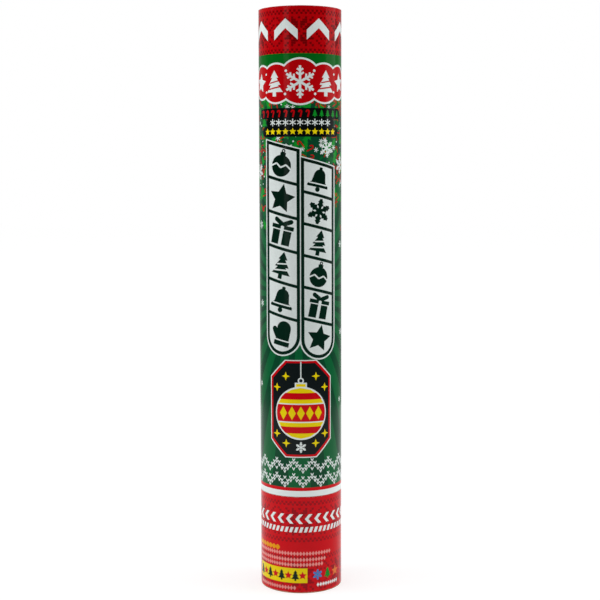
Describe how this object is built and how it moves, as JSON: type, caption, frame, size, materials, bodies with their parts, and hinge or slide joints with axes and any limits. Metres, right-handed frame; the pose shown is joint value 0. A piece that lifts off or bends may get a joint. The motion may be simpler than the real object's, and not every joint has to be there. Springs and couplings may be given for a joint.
{
  "type": "confetti popper",
  "caption": "Slim paper-tube confetti popper with a printed wrap: a quarter turn of its lower handle frees compressed air that throws a wad and die-cut paper out of the barrel.",
  "frame": {"origin": "middle of the handle's foot, on the surface that the popper stands on", "axes": "+Z along the tube's axis from the twist handle to the muzzle; -Y is the side that the picture shows, with the red plaque and the round medallion of the wrap"},
  "size_m": [0.0508, 0.0508, 0.3556],
  "materials": {
    "wound_board": "spiral-wound kraft board, matte",
    "barrel_print": "printed label under a gloss film",
    "handle_print": "printed label under a gloss film",
    "black_plastic": "moulded, fine satin",
    "white_plastic": "moulded, fine satin",
    "drawn_aluminium": "drawn, bright",
    "black_rubber": "matte",
    "steel_pin": "ground",
    "grey_board": "pressed grey fibre, matte",
    "red_paper": "die-cut tissue, matte",
    "green_paper": "die-cut tissue, matte",
    "white_paper": "die-cut tissue, matte",
    "silver_paper": "foil-faced paper, satin"
  },
  "bodies": {
    "barrel": {"barrel_tube": "wound_board", "barrel_wrap": "barrel_print", "bulkhead": "white_plastic"},
    "handle": {"handle_tube": "wound_board", "handle_wrap": "handle_print", "coupler_sleeve": "wound_board", "base_cap": "black_plastic", "air_cylinder": "drawn_aluminium", "cylinder_base": "drawn_aluminium", "fill_plug": "black_rubber", "lower_spacer": "wound_board", "upper_spacer": "wound_board", "valve_seat": "white_plastic", "seat_gasket": "black_rubber", "cam_collar": "black_plastic"},
    "plug": {"stopper": "white_plastic", "stopper_ring": "black_rubber", "cross_pin": "steel_pin"},
    "wad": {"wad_board": "grey_board", "wad_fibre": "grey_board"},
    "load": {"cane_confetti": "red_paper", "tree_confetti": "green_paper", "snowflake_confetti": "white_paper"},
    "seal": {"muzzle_seal": "silver_paper"}
  },
  "joints": [
    {"name": "handle_twist", "type": "hinge", "parent": "barrel", "child": "handle", "pos_m": [0, 0, 0.06], "axis": [0, 0, -1], "range_deg": [0, 90]},
    {"name": "stopper_lift", "type": "slide", "parent": "barrel", "child": "plug", "axis": [0, 0, 1], "range_m": [0, 0.008]},
    {"name": "wad_launch", "type": "slide", "parent": "barrel", "child": "wad", "axis": [0, 0, 1], "range_m": [0, 0.23]},
    {"name": "load_launch", "type": "slide", "parent": "wad", "child": "load", "axis": [0, 0, 1], "range_m": [0, 0.05]},
    {"name": "seal_burst", "type": "slide", "parent": "load", "child": "seal", "axis": [0, 0, 1], "range_m": [0, 0.06]}
  ],
  "couplings": [
    {"joint": "stopper_lift", "follows": "handle_twist", "m_per_rad": 0.0050929}
  ]
}
